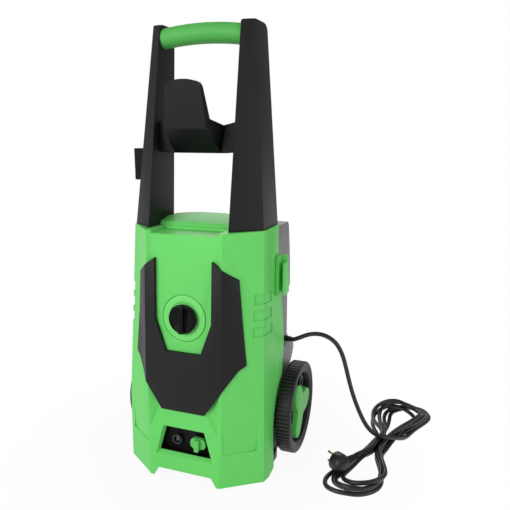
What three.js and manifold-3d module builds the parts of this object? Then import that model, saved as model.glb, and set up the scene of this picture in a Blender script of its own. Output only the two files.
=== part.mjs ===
// Upright electric pressure washer. Millimetres, +Z up, the front faces -Y.
// The pieces are placed in a frame whose Y = 0 is the foot of the front panel; the last
// group shifts that frame so that the origin is the middle of the footprint, on the floor.
import * as THREE from 'three';
import { mergeVertices } from 'three/addons/utils/BufferGeometryUtils.js';
import Module from 'manifold-3d';

const wasm = await Module();
wasm.setup();

// ---------- driving sizes ----------
const height = 850;                 // floor to the top of the handle
const gap = 0.3;                    // between two pieces that touch
const wall = 3;                     // moulded walls
const round = 20;                   // segments of a full circle
const fine = 12;                    // segments of a screw, a pin or a bore

// body: three plan outlines, right half only, from the middle of the front to the side
const knee = 140;                   // below it the front stands upright, above it leans back
const shoulder = 483;               // top of the body, where the handle stands
const floorPlan = [[72.5, 0], [144.5, 50], [148, 66], [150, 92]];
const kneePlan = [[77, 2.8], [143.5, 52], [145.5, 68], [146, 96]];
const shoulderPlan = [[76, 22], [133, 80], [134.2, 96], [134.6, 120]];

// front panel, sunk between the two side facets and above the apron of the hose bay
const panel = { back: 27, lowHalf: 64.6, topHalf: 67.4, low: 118, middle: 153, middleHalf: 50, flare: 1.7 };
const lean = panel.back / shoulder;

// side facets, sunk a little above the skirt
const skirt = { top: 68, sunk: 1.4, from: 79, to: 132 };

// rear edge of the front shell in (y, z): it bulges over the gland and curves in beside the wheel
const seam = { top: 162, back: 178, foot: 95 };
const seamLine = [
  [seam.foot, -1], [seam.foot, 80], [99, 100], [108, 118], [120, 133], [142, 151], [160, 172],
  [165, 200], [seam.back, 240], [seam.back, 262], [157, shoulder - 58], [158, shoulder - 21],
  [seam.top, shoulder],
];
const shelf = { half: 68, lip: 475, back: 478, depth: 78 };
const deck = { half: 79.7, front: 86, back: 152, low: 490, high: 501, crown: 5 };

// wheels
const wheel = { radius: 94, width: 30, outer: 180, rim: 73, hub: 17, sides: 28 };
const wheelInner = wheel.outer - wheel.width;
const axle = { radius: 6, y: 192, end: wheel.outer - 12, bracket: [wheelInner - 40, wheelInner - 28] };
const room = { radius: wheel.radius + 3, side: 2 };     // clear space round and beside a wheel
const depth = axle.y + wheel.radius;          // front foot to the back of the wheels

// rear shell
const rear = {
  half: wheelInner - 20, low: wheelInner - 12,    // half widths over and between the wheels
  top: 477, foot: 26, lap: 154, lapFoot: 92, ledge: 222, back: 278, lowBack: 286,
};

// chassis tray under the pump
const chassis = { low: 10, high: 40, front: 72, back: 247, floor: 4 };

// handle
const upright = {
  base: [[80, 40], [131.6, 82], [132, 163], [80, 139]],
  tip: [[80, 107], [101.6, 122.5], [103.4, 179], [80, 165]],
  wall: 4, play: 0.6, tenon: 60, tenonInset: 7, cover: 4, round: 18,
};
const grip = { radius: 18.4, y: 124, z: height - 24.4, rise: 6 };

// hose hook
const hook = {
  half: 34.5, foot: 42, front: 33, lean: 6, thick: 6, footThick: 24, shell: 4, beam: [90, 126],
  low: height - 189, high: height - 105, under: height - 231, saddle: height - 183,
};

// dial on the front panel
const dial = { z: 323, plate: 43.4, lip: 0.9, knob: 27.5, rise: 1, grip: 16.5, shaft: 4 };

// hose bay low on the front panel
const bay = { topHalf: 39.5, top: 107.5, lowHalf: 55, low: 53, frame: 10, back: 27.2, slope: 6, sill: 7 };
const outlet = { x: -22, z: 75, radius: 11, bore: 6 };
const inlet = { x: 25.5, z: 77.5, radius: 12.5 };

// motor and pump on one upright axis
const power = { y: 118 };
const pump = { low: 62, high: 122, radius: 42, bores: 22, piston: 7 };
const crank = { high: 216, radius: 56, wall: 5 };
const motor = { high: 380, radius: 58, stator: 29, air: 0.8, shaft: 8 };
const bearing = { outer: 20, thick: 12 };

// cord
const cord = { diameter: 9, sides: 8, steps: 26 };

// ---------- shape helpers ----------
const shapeOf = (points) => new THREE.Shape(points.map(([x, y]) => new THREE.Vector2(x, y)));
const mirrorOutline = (half) => [...half, ...half.map(([x, y]) => [-x, y]).reverse()];

function solid(geometry) {
  const bare = geometry.index ? geometry.toNonIndexed() : geometry.clone();
  bare.deleteAttribute('normal');
  bare.deleteAttribute('uv');
  const merged = mergeVertices(bare, 1e-4);
  return new wasm.Manifold(new wasm.Mesh({
    numProp: 3,
    vertProperties: new Float32Array(merged.attributes.position.array),
    triVerts: new Uint32Array(merged.index.array),
  }));
}

function geometryOf(manifold) {
  const mesh = manifold.getMesh();
  const geometry = new THREE.BufferGeometry();
  geometry.setAttribute('position', new THREE.BufferAttribute(new Float32Array(mesh.vertProperties), 3));
  geometry.setIndex(new THREE.BufferAttribute(new Uint32Array(mesh.triVerts), 1));
  const loose = geometry.toNonIndexed();
  loose.computeVertexNormals();
  return loose;
}

const extruded = (points, length) =>
  new THREE.ExtrudeGeometry(shapeOf(points), { depth: length, bevelEnabled: false, steps: 1 });

// outline in (x, y), pulled along Z
const prismZ = (points, from, to) => solid(extruded(points, to - from).translate(0, 0, from));

// outline in (x, z), pulled along Y
function prismY(points, from, to) {
  const geometry = extruded(points, to - from).rotateX(Math.PI / 2);
  return solid(geometry.translate(0, to, 0));
}

// outline in (y, z), pulled along X
function prismX(points, from, to) {
  const geometry = extruded(points, to - from);
  const turn = new THREE.Matrix4().set(0, 0, 1, from, 1, 0, 0, 0, 0, 1, 0, 0, 0, 0, 0, 1);
  return solid(geometry.applyMatrix4(turn));
}

function box(x0, x1, y0, y1, z0, z1) {
  const geometry = new THREE.BoxGeometry(x1 - x0, y1 - y0, z1 - z0);
  return solid(geometry.translate((x0 + x1) / 2, (y0 + y1) / 2, (z0 + z1) / 2));
}

// straight-sided solid between two outlines with as many points
function loft(lower, upper, z0, z1) {
  const geometry = extruded(lower, 1);
  const position = geometry.attributes.position;
  for (let i = 0; i < position.count; i++) {
    const k = lower.findIndex(([x, y]) => Math.hypot(x - position.getX(i), y - position.getY(i)) < 1e-3);
    const high = position.getZ(i) > 0.5;
    const [x, y] = (high ? upper : lower)[k];
    position.setXYZ(i, x, y, high ? z1 : z0);
  }
  return solid(geometry);
}

// closed outline moved inwards by a distance; a negative distance moves it outwards
function inset(points, distance) {
  const area = THREE.ShapeUtils.area(points.map(([x, y]) => new THREE.Vector2(x, y)));
  const side = Math.sign(area) * distance;
  const lines = points.map(([x, y], i) => {
    const [nextX, nextY] = points[(i + 1) % points.length];
    const length = Math.hypot(nextX - x, nextY - y);
    const [dx, dy] = [(nextX - x) / length, (nextY - y) / length];
    return { x: x - dy * side, y: y + dx * side, dx, dy };
  });
  return lines.map((line, i) => {
    const last = lines[(i + lines.length - 1) % lines.length];
    const cross = last.dx * line.dy - last.dy * line.dx;
    const along = ((line.x - last.x) * line.dy - (line.y - last.y) * line.dx) / cross;
    return [last.x + last.dx * along, last.y + last.dy * along];
  });
}

// outline with its corners rounded by arcs of a few points
function rounded(points, radius, steps = 4) {
  return points.flatMap(([x, y], i) => {
    const before = points[(i + points.length - 1) % points.length];
    const after = points[(i + 1) % points.length];
    const pull = ([px, py]) => {
      const length = Math.hypot(px - x, py - y);
      const reach = Math.min(radius, length * 0.45) / length;
      return [x + (px - x) * reach, y + (py - y) * reach];
    };
    const [start, end] = [pull(before), pull(after)];
    return Array.from({ length: steps + 1 }, (_, k) => {
      const t = k / steps;
      const blend = (a, b, c) => (1 - t) ** 2 * a + 2 * t * (1 - t) * b + t * t * c;
      return [blend(start[0], x, end[0]), blend(start[1], y, end[1])];
    });
  });
}

const circle = (radius, sides = round, x = 0, y = 0) =>
  Array.from({ length: sides }, (_, k) => {
    const angle = (2 * Math.PI * k) / sides;
    return [x + radius * Math.cos(angle), y + radius * Math.sin(angle)];
  });

// turned solid about Z from (radius, z) points that start and end on the axis
const turned = (points, sides = round) =>
  solid(new THREE.LatheGeometry(points.map(([r, z]) => new THREE.Vector2(r, z)), sides).rotateX(Math.PI / 2));

// turned solid about Z with a hole: the profile closes on itself
const turnedRing = (points, sides = round) => turned([...points, points[0]], sides);

const cylinderZ = (radius, z0, z1, x = 0, y = 0, sides = round) => prismZ(circle(radius, sides, x, y), z0, z1);
const cylinderY = (radius, y0, y1, x, z, sides = round) => prismY(circle(radius, sides, x, z), y0, y1);
const cylinderX = (radius, x0, x1, y, z, sides = round) => prismX(circle(radius, sides, y, z), x0, x1);
const ringZ = (outer, inner, z0, z1, x, y, sides = round) =>
  cylinderZ(outer, z0, z1, x, y, sides).subtract(cylinderZ(inner, z0 - 1, z1 + 1, x, y, sides));

// outlines in (x, z) at two depths, joined by straight sides
const loftY = (near, far, y0, y1) => loft(
  near.map(([x, z]) => [x, -z]), far.map(([x, z]) => [x, -z]), y0, y1).rotate([-90, 0, 0]);

function tube(points, radius, sides, steps) {
  const path = new THREE.CatmullRomCurve3(points.map((p) => new THREE.Vector3(...p)), false, 'centripetal');
  const section = shapeOf(circle(radius, sides));
  return solid(new THREE.ExtrudeGeometry(section, { extrudePath: path, steps, bevelEnabled: false }));
}

const join = (solids) => solids.reduce((all, one) => all.add(one));
const mirrored = (manifold) => manifold.mirror([1, 0, 0]);

// ---------- scene ----------
const washer = new THREE.Group();
const pieces = new THREE.Group();
pieces.position.y = -depth / 2;
washer.add(pieces);

const finish = {
  green: [0x6fdc6d, 0.45, 0], darkGreen: [0x5cb85b, 0.55, 0], black: [0x2b2b2d, 0.6, 0],
  gray: [0x757577, 0.6, 0], rubber: [0x1e1e1f, 0.9, 0], steel: [0xb9bcc0, 0.3, 1],
  aluminium: [0xa9adb2, 0.45, 1], copper: [0xa8602c, 0.4, 1], brass: [0xc8a24a, 0.35, 1],
};

function piece(name, manifold, look, parent = pieces) {
  const [color, roughness, metalness] = finish[look];
  const mesh = new THREE.Mesh(
    geometryOf(manifold), new THREE.MeshStandardMaterial({ color, roughness, metalness }));
  mesh.name = name;
  parent.add(mesh);
  return mesh;
}

// ---------- body form ----------
const planBack = 240;               // behind the seam, so that cuts run right through
const closePlan = (half) => mirrorOutline([...half, [half[half.length - 1][0], planBack]]);

// outline of the body at a height, grown outwards
function planAt(z, grow = 0) {
  const [z0, z1, lower, upper] = z < knee
    ? [0, knee, floorPlan, kneePlan] : [knee, shoulder, kneePlan, shoulderPlan];
  const t = (z - z0) / (z1 - z0);
  const [from, to] = [lower, upper].map((plan) => inset(closePlan(plan), -grow));
  return from.map(([x, y], k) => [x + (to[k][0] - x) * t, y + (to[k][1] - y) * t]);
}
const form = (grow, z0 = 0, z1 = shoulder) =>
  loft(planAt(z0, grow), planAt(knee, grow), z0, knee).add(loft(planAt(knee, grow), planAt(z1, grow), knee, z1));
const panelY = (z) => lean * z;     // face of the sunk panel at a height

// the space in front of the sunk panel, grown on all sides; its walls flare out to the facets
function panelRoom(grow) {
  const reach = 14;
  const outline = (flare, apron) => inset(mirrorOutline([
    [panel.middleHalf - apron, panel.middle - apron], [panel.lowHalf + flare, panel.low - 2.4 * flare],
    [panel.topHalf + flare, shoulder + 20],
  ]), -grow);
  return loft(outline(0, 0), outline(panel.flare * reach, reach), -grow, reach)
    .rotate([90 - THREE.MathUtils.radToDeg(Math.atan(lean)), 0, 0]);
}

// the spaces that the two wheels turn in
const rightRoom = cylinderX(room.radius, wheelInner - room.side, 220, axle.y, wheel.radius, 36);
const wheelRoom = rightRoom.add(mirrored(rightRoom));

// ---------- front shell ----------
const bayOutline = (slope, sill) => mirrorOutline([
  [bay.lowHalf + slope, bay.low - sill], [bay.topHalf + slope - 1, bay.top + slope / 3]]);

function frontShell() {
  const before = -20;
  const above = shoulder + 40;
  const keep = prismX([[before, -1], ...seamLine, [seam.top, above], [before, above]], -200, 200)
    .subtract(wheelRoom);
  const shelfCut = (drop, half) => prismX([
    [before, shelf.lip - drop], [shelf.depth + drop, shelf.back - drop],
    [shelf.depth + drop, above], [before, above],
  ], -half, half);
  const cavity = form(-wall, -1, shoulder - wall).subtract(shelfCut(wall, shelf.half + wall))
    .subtract(panelRoom(wall));
  const deckProfile = (shrink) => prismX([
    [shelf.depth + shrink, shelf.back - wall], [shelf.depth + shrink, shelf.back - shrink],
    [deck.front + shrink, deck.low - shrink], [(deck.front + deck.back) / 2, deck.high - 4 - shrink],
    [deck.back - shrink, deck.high - shrink], [deck.back - shrink, shelf.back - wall],
  ], -deck.half + shrink, deck.half - shrink);
  const crown = (shrink) => prismY([
    [-deck.half, shelf.back - wall - 1], [deck.half, shelf.back - wall - 1],
    ...Array.from({ length: 7 }, (_, k) => {
      const x = deck.half * (1 - k / 3);
      return [x, deck.high + 0.5 - deck.crown * (x / deck.half) ** 2 - shrink];
    }),
  ], 0, 200);
  const deckBlock = (shrink) => deckProfile(shrink).intersect(crown(shrink));
  const arch = prismY([[-67, -1], [67, -1], [55.5, 18], [-55.5, 18]], -5, 30);
  const heel = prismX([[70, -1], [seam.foot + 1, -1], [seam.foot + 1, 7]], -200, 200);
  const frame = (shrink) => loftY(
    inset(bayOutline(bay.slope, bay.sill), shrink), inset(bayOutline(0, 0), shrink), -1, bay.frame);
  const window = frame(0).add(prismY(bayOutline(0, 0), bay.frame - 1, bay.frame + 1));
  const dialHole = cylinderY(dial.plate + dial.lip + gap, 0, 40, 0, dial.z);
  const sockets = [1, -1].map((side) => {
    const hole = prismZ(inset(upright.base, upright.tenonInset - gap), shoulder - 20, shoulder + 10);
    return side > 0 ? hole : mirrored(hole);
  });
  const outside = form(0).intersect(keep);
  let shell = outside.subtract(join([shelfCut(0, shelf.half), panelRoom(0)])).subtract(cavity)
    .add(frame(-wall).intersect(outside));
  shell = shell.add(deckBlock(0)).subtract(deckBlock(wall));
  shell = shell.subtract(join([arch, heel, window, dialHole, ...sockets, ...vents(), ...facetSinks()]));
  return shell;
}

// three shallow ventilation recesses on each side, from the facet round to the side
const vent = { rows: [289.5, 319.8, 350], tall: 19, from: 122.7, bend: 68, back: 107, droop: 4.5, sunk: 2 };

function vents() {
  const skin = form(1).subtract(form(-vent.sunk));
  return vent.rows.flatMap((z) => {
    const slot = skin.intersect(prismX([
      [40, z], [vent.bend, z], [vent.back, z - vent.droop], [vent.back, z - vent.droop + vent.tall],
      [vent.bend, z + vent.tall], [40, z + vent.tall],
    ], vent.from, 160));
    return [slot, mirrored(slot)];
  });
}

// shallow hollow in each side facet, deepest over the skirt and running out at the knee
function facetSinks() {
  const sunk = loft(planAt(skirt.top, -skirt.sunk), planAt(knee), skirt.top, knee);
  const hollow = form(1).subtract(sunk).intersect(box(skirt.from, skirt.to, -10, 90, skirt.top, knee));
  return [hollow, mirrored(hollow)];
}

piece('front_shell', frontShell(), 'green');

// ---------- black trim panel ----------
const trim = { thick: 2.8 };
const trimOutline = mirrorOutline([
  [35.5, 259], [57, 319], [57.5, 433], [75, 420.5], [101.6, 400], [115.4, 240], [104, 232], [44.5, 144.5],
]);
const trimLayer = form(trim.thick).subtract(form(gap)).add(form(trim.thick).intersect(panelRoom(-gap)));
const trimHollow = form(gap).intersect(panelRoom(0)).intersect(prismY(inset(trimOutline, wall), -20, 75));
piece('trim_panel', trimLayer.intersect(prismY(trimOutline, -20, 75)).subtract(trimHollow), 'black');

// ---------- dial ----------
const onPanel = new THREE.Group();          // local +Z points out of the front panel
onPanel.position.set(0, panelY(dial.z), dial.z);
onPanel.rotation.x = Math.PI / 2 - Math.atan(lean);
pieces.add(onPanel);

const knobBase = dial.rise + gap;
piece('dial_plate', turnedRing([
  [dial.shaft + 2, -wall], [dial.plate + dial.lip, -wall], [dial.plate + dial.lip, 1 - wall],
  [dial.plate, 1 - wall], [dial.plate, dial.rise - 1], [dial.plate - 1.5, dial.rise],
  [dial.shaft + 2, dial.rise],
]), 'green', onPanel);

const knobSkirt = turned([
  [0, knobBase], [dial.knob, knobBase], [dial.knob, knobBase + 7], [dial.knob - 2.5, knobBase + 10],
  [0, knobBase + 10],
]);
const knobBar = prismZ(rounded([[-6.5, -26.5], [6.5, -26.5], [5.5, 26], [-5.5, 26]], 4, 2), knobBase + 5, dial.grip);
const knobShaft = cylinderZ(dial.shaft, -12, knobBase + 1, 0, 0, fine);
piece('power_knob', join([knobSkirt, knobBar, knobShaft]), 'black', onPanel);

const switchBox = box(-24, 24, -24, 24, -34, -wall - gap)
  .subtract(cylinderZ(dial.shaft + gap, -12 - gap, 0, 0, 0, fine));
piece('switch_box', switchBox, 'black', onPanel);

// ---------- hose bay ----------
const fitting = { shank: 7, rear: bay.back + 12 };
const trayFront = bay.frame + gap;
const tray = prismY(inset(bayOutline(0, 0), -wall), trayFront, bay.back)
  .subtract(prismY(inset(bayOutline(0, 0), -gap), trayFront - 1, bay.back - wall))
  .subtract(cylinderY(fitting.shank + gap, 0, 60, outlet.x, outlet.z))
  .subtract(cylinderY(fitting.shank + gap, 0, 60, inlet.x, inlet.z));
piece('bay_tray', tray, 'black');

function fittingAt(x, z, front, collar, bore, name, look) {
  const body = join([
    cylinderY(collar, front, bay.back - wall - gap, x, z),
    cylinderY(fitting.shank, bay.back - wall - 1, fitting.rear, x, z),
  ]).subtract(cylinderY(bore, front - 1, fitting.rear + 1, x, z, fine));
  piece(name, body, look);
}
fittingAt(outlet.x, outlet.z, bay.back - 12, outlet.radius, outlet.bore, 'outlet_port', 'black');
fittingAt(inlet.x, inlet.z, bay.back - 9, inlet.radius, 4, 'inlet_port', 'black');

// turning inlet tap: a wide rounded cap with a grip bar across its front
const tapFront = bay.back - 9 - gap;
const tap = join([
  prismY(rounded([[-15.5, -9.5], [16, -9.5], [16, 11.5], [-15.5, 11.5]], 9.5, 3), tapFront - 9, tapFront),
  prismY(rounded([[-5, -12.5], [4, -12.5], [5, 11], [-5.5, 11]], 2.5, 2), tapFront - 16, tapFront - 8),
  cylinderY(4 - gap, tapFront - 1, bay.back - 4, 0, 0, fine),
]).translate([inlet.x, 0, inlet.z]);
piece('inlet_tap', tap, 'darkGreen');

// ---------- rear shell ----------
const rearSide = [
  [rear.lapFoot, rear.top], [240, rear.top], [249, rear.top - 8], [257, 425], [262, 387], [263, 338],
  [242, 322], [242, 234], [254, 223], [269, 206], [270, 191], [260, 180], [244, 168], [246, 60],
  [246, rear.foot], [rear.lapFoot, rear.foot],
];
const rearPlan = (half, back) => mirrorOutline([
  [half, 60], [half, back - 52], [half - 1.5, back - 12], [half - 14, back]]);
const rearScrew = { x: 92, rows: [70, 370], head: 5, shank: 2.2, boss: 7, length: 16 };
const gland = { y: 203, z: 236.5, bore: 5.4, collar: 7.2, inner: 112, end: 149.5 };

// outer form, or with a shrink the hollow, which runs out through the open front and foot
function rearForm(shrink) {
  const open = shrink > 0 ? 60 : 0;
  const side = inset(rearSide, shrink).map(([y, z]) => [
    y < rear.lapFoot + 20 ? y - open : y, z < rear.foot + 10 ? z - open : z]);
  const wide = prismZ(inset(rearPlan(rear.low, rear.lowBack), shrink), -60, rear.ledge - shrink);
  const narrow = prismZ(inset(rearPlan(rear.half, rear.back), shrink), 0, shoulder);
  return prismX(side, -160, 160).intersect(wide.add(narrow));
}

const rearScrewPlaces = rearScrew.rows.flatMap((z) => [-rearScrew.x, rearScrew.x].map((x) => [x, z]));
const rearFace = (z) => {
  const k = rearSide.findIndex(([, sideZ], i) => i > 2 && sideZ <= z);
  const [[y0, z0], [y1, z1]] = [rearSide[k - 1], rearSide[k]];
  return y0 + ((y1 - y0) * (z - z0)) / (z1 - z0);
};

function rearShell() {
  const boss = { y: 196, z: 409, radius: 8 };
  const louvre = { low: 345, pitch: 14, tall: 6, half: 60, count: 6 };
  const bosses = rearScrewPlaces.map(([x, z]) =>
    cylinderY(rearScrew.boss, rearFace(z) - 22, rearFace(z) - 1, x, z, fine));
  const holes = rearScrewPlaces.map(([x, z]) => cylinderY(rearScrew.shank + gap, 200, 300, x, z, fine)
    .add(cylinderY(rearScrew.head + gap, rearFace(z) - 2, 300, x, z, fine)));
  const louvres = Array.from({ length: louvre.count }, (_, k) =>
    box(-louvre.half, louvre.half, 240, 280, louvre.low + k * louvre.pitch,
      louvre.low + k * louvre.pitch + louvre.tall));
  return rearForm(0).subtract(rearForm(wall))
    .add(cylinderX(boss.radius, rear.half - 2, rear.half + 5, boss.y, boss.z))
    .add(join(bosses))
    .subtract(join([...holes, ...louvres]))
    .subtract(cylinderX(gland.bore + gap, 100, 160, gland.y, gland.z))
    .subtract(cylinderX(axle.radius + gap, -160, 160, axle.y, wheel.radius, fine))
    .subtract(box(-200, 200, 0, rear.lap, rear.ledge - 4, 500));
}
piece('rear_shell', rearShell(), 'gray');

rearScrewPlaces.forEach(([x, z], k) => {
  const face = rearFace(z) - 2 + gap;
  const screw = join([
    cylinderY(rearScrew.head, face, face + 2.6, x, z, fine),
    cylinderY(rearScrew.shank, face - rearScrew.length, face + 1, x, z, 8),
  ]).subtract(box(x - 3, x + 3, face + 1.4, face + 4, z - 0.6, z + 0.6));
  piece(`rear_screw_${k + 1}`, screw, 'steel');
});

// ---------- chassis tray, foot pads and axle ----------
const footPad = { x: 104, y: 52, radius: 13, high: chassis.low - gap };

function chassisTray() {
  const inside = rear.low - wall - gap;
  const floorOutline = mirrorOutline([
    [86, chassis.front], [rear.low, seam.foot + 2], [rear.low, chassis.back - 20], [rear.low - 20, chassis.back],
  ]);
  const rimOutline = mirrorOutline([
    [86, chassis.front], [inside, seam.foot + 2], [inside, chassis.back - 26], [inside - 18, chassis.back - 6],
  ]);
  const floorTop = chassis.low + chassis.floor;
  const base = prismZ(floorOutline, chassis.low, rear.foot - gap)
    .add(prismZ(rimOutline, rear.foot - 1, chassis.high))
    .subtract(prismZ(inset(rimOutline, wall), floorTop, chassis.high + 1));
  const heel = box(rear.low - 1, 145.5, seam.foot + gap + 1, 128, chassis.low - 2, rear.foot - gap)
    .subtract(wheelRoom);
  const arm = prismZ([[88, 40], [118, 40], [118, 104], [88, 104]], chassis.low, chassis.low + 10);
  const [bracketIn, bracketOut] = axle.bracket;
  const bracket = prismX([
    [axle.y - 26, floorTop - 1], [axle.y + 26, floorTop - 1], [axle.y + 13, wheel.radius + 14],
    [axle.y - 13, wheel.radius + 14],
  ], bracketIn, bracketOut);
  const stud = cylinderZ(5 + gap, chassis.low - 1, chassis.low + 6, footPad.x, footPad.y, fine);
  const side = join([heel, arm, bracket]).subtract(stud);
  return base.add(side).add(mirrored(side))
    .subtract(cylinderX(axle.radius + gap, -160, 160, axle.y, wheel.radius, fine));
}
piece('chassis_tray', chassisTray(), 'black');

for (const [side, sign] of [['left', -1], ['right', 1]]) {
  const pad = cylinderZ(footPad.radius, 0, footPad.high, sign * footPad.x, footPad.y)
    .add(cylinderZ(5, footPad.high - 1, chassis.low + 5, sign * footPad.x, footPad.y, fine));
  piece(`foot_pad_${side}`, pad, 'rubber');
}

piece('axle', cylinderX(axle.radius, -axle.end, axle.end, axle.y, wheel.radius, fine), 'steel');

// ---------- wheels: turned about local +Z, which points outwards ----------
// turn: how far the arms stand turned from straight down when the machine rests
const lobes = { count: 3, tip: 67, waist: 31, boss: 50, bossRadius: 15, turn: 27 };

function hubcapOutline(shrink) {
  const turns = 42;
  return Array.from({ length: turns }, (_, k) => {
    const angle = (2 * Math.PI * k) / turns;
    const wave = 0.5 + 0.5 * Math.cos(lobes.count * (angle + Math.PI / 2));
    const radius = lobes.waist + (lobes.tip - lobes.waist) * wave ** 1.15 - shrink;
    return [radius * Math.cos(angle), radius * Math.sin(angle)];
  });
}

function wheelSet(side, sign) {
  const set = new THREE.Group();
  set.position.set(sign * wheelInner, axle.y, wheel.radius);
  set.rotation.y = (sign * Math.PI) / 2;
  pieces.add(set);
  const w = wheel.width;
  const tyre = turnedRing([
    [wheel.rim, 3], [wheel.radius - 4, 0], [wheel.radius, 3],
    [wheel.radius, w - 4], [wheel.radius - 4, w], [wheel.rim, w - 3],
  ], wheel.sides);
  piece(`tyre_${side}`, tyre, 'rubber', set);

  const seat = wheel.rim - gap;
  const web = { low: 9, high: 14 };
  const rimRing = turnedRing([
    [axle.radius + gap, -8], [wheel.hub, -8], [wheel.hub, web.low], [seat - 4, web.low], [seat, 4],
    [seat, w - 4], [seat - 4, web.high], [wheel.hub, web.high], [wheel.hub, w - 8],
    [axle.radius + gap, w - 8],
  ], wheel.sides);
  const bosses = [90, 210, 330].map((degrees) => {
    const angle = THREE.MathUtils.degToRad(degrees);
    const [x, y] = [lobes.boss * Math.cos(angle), lobes.boss * Math.sin(angle)];
    return cylinderZ(lobes.bossRadius, web.high - 1, w - 9, x, y, 16)
      .subtract(cylinderZ(7, web.high + 2, w, x, y, fine));
  });
  // local +X points down on one side and up on the other, so the lobes are turned to match
  const quarter = (solidPiece) => solidPiece.rotate([0, 0, sign * (90 - lobes.turn)]);
  piece(`wheel_rim_${side}`, quarter(rimRing.add(join(bosses))), 'black', set);

  const skin = { low: web.high + gap, high: w - 1.5 };
  const bossRoom = [90, 210, 330].map((degrees) => {
    const angle = THREE.MathUtils.degToRad(degrees);
    return cylinderZ(lobes.bossRadius + 1, 0, w + 5,
      lobes.boss * Math.cos(angle), lobes.boss * Math.sin(angle), 16);
  });
  const cap = loft(hubcapOutline(0), hubcapOutline(3), skin.low, skin.high)
    .subtract(loft(hubcapOutline(wall), hubcapOutline(wall + 3), skin.low - 1, skin.high - wall))
    .subtract(join(bossRoom))
    .add(ringZ(wheel.hub + 4, wheel.hub + gap, skin.low, skin.high - 1, 0, 0));
  piece(`hubcap_${side}`, quarter(cap), 'darkGreen', set);
}
wheelSet('left', -1);
wheelSet('right', 1);

// ---------- handle ----------
const [bottomZ, topZ] = [shoulder + gap, height];
const handleScrew = { head: 4.5, shank: 2.2, rows: [shoulder + 61, height - 65] };

// the hollow of an upright: inset walls, run out through the back
function openBack(section, shrink) {
  const [front, outer, outerBack, innerBack] = inset(section, shrink);
  const reach = upright.wall + 8;
  return [front, outer, [outerBack[0], outerBack[1] + reach], [innerBack[0], innerBack[1] + reach]];
}

function handleSide(side, mirror) {
  const place = (manifold) => (mirror ? mirrored(manifold) : manifold);
  const beam = loft(upright.base, upright.tip, bottomZ, topZ);
  const profile = rounded([[0, 300], [102, topZ], [179.5, topZ], [190, 300]], upright.round, 4);
  const rounding = prismX(profile, 60, 150);
  const hollow = loft(openBack(upright.base, upright.wall), openBack(upright.tip, upright.wall), bottomZ, topZ)
    .intersect(box(0, 200, 0, 300, bottomZ + 6, topZ - 6));
  const tenonOutline = inset(upright.base, upright.tenonInset);
  const tenon = prismZ(tenonOutline, shoulder - upright.tenon, bottomZ + 1)
    .subtract(prismZ(inset(tenonOutline, upright.wall), shoulder - upright.tenon - 1, shoulder - 3));
  const screwPlaces = handleScrew.rows.map((z) => {
    const t = (z - bottomZ) / (topZ - bottomZ);
    const corner = (k, axis) => upright.base[k][axis] + (upright.tip[k][axis] - upright.base[k][axis]) * t;
    return { x: (corner(2, 0) + corner(3, 0)) / 2, y: (corner(2, 1) + corner(3, 1)) / 2, z };
  });
  const posts = screwPlaces.map(({ x, y, z }) => cylinderY(6, 50, y - upright.cover - 13, x, z, fine)
    .subtract(cylinderY(handleScrew.shank + gap, y - 34, y, x, z, 8)));
  const channel = beam.subtract(hollow).add(join(posts).intersect(beam)).intersect(rounding).add(tenon);
  piece(`upright_${side}`, place(channel), 'black');

  const seat = upright.wall + upright.play;
  const inner = loft(inset(upright.base, seat), inset(upright.tip, seat), bottomZ, topZ)
    .intersect(box(0, 200, 0, 300, bottomZ + 6 + gap, topZ - 6 - gap));
  const lid = inner.subtract(inner.translate(0, -upright.cover, 0)).intersect(rounding)
    .intersect(prismX([[130, 400], [130, topZ], [200, topZ], [200, 400]], 60, 150));
  const bosses = screwPlaces.map(({ x, y, z }) => cylinderY(8, y - upright.wall - 5, y + 1.5, x, z, fine));
  const holes = screwPlaces.map(({ x, y, z }) => cylinderY(handleScrew.shank + gap, y - 40, y + 10, x, z, 8));
  piece(`upright_cover_${side}`, place(lid.add(join(bosses)).subtract(join(holes))), 'black');

  screwPlaces.forEach(({ x, y, z }, k) => {
    const face = y + 1.5 + gap;
    const screw = join([
      cylinderY(handleScrew.head, face, face + 2.8, x, z, fine),
      cylinderY(handleScrew.shank, face - 26, face + 1, x, z, 8),
    ]).subtract(box(x - 3, x + 3, face + 1.6, face + 4, z - 0.6, z + 0.6));
    piece(`handle_screw_${side}_${k + 1}`, place(screw), 'steel');
  });
}
handleSide('left', true);
handleSide('right', false);

const gripEnd = upright.base[0][0] - gap;
const gripPath = Array.from({ length: 9 }, (_, k) => {
  const share = k / 4 - 1;
  return [gripEnd * share, grip.y, grip.z + grip.rise * (1 - share * share)];
});
piece('handle_grip', tube(gripPath, grip.radius, 16, 10)
  .intersect(box(-gripEnd, gripEnd, 0, 300, grip.z - 60, grip.z + 60)), 'darkGreen');

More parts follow.
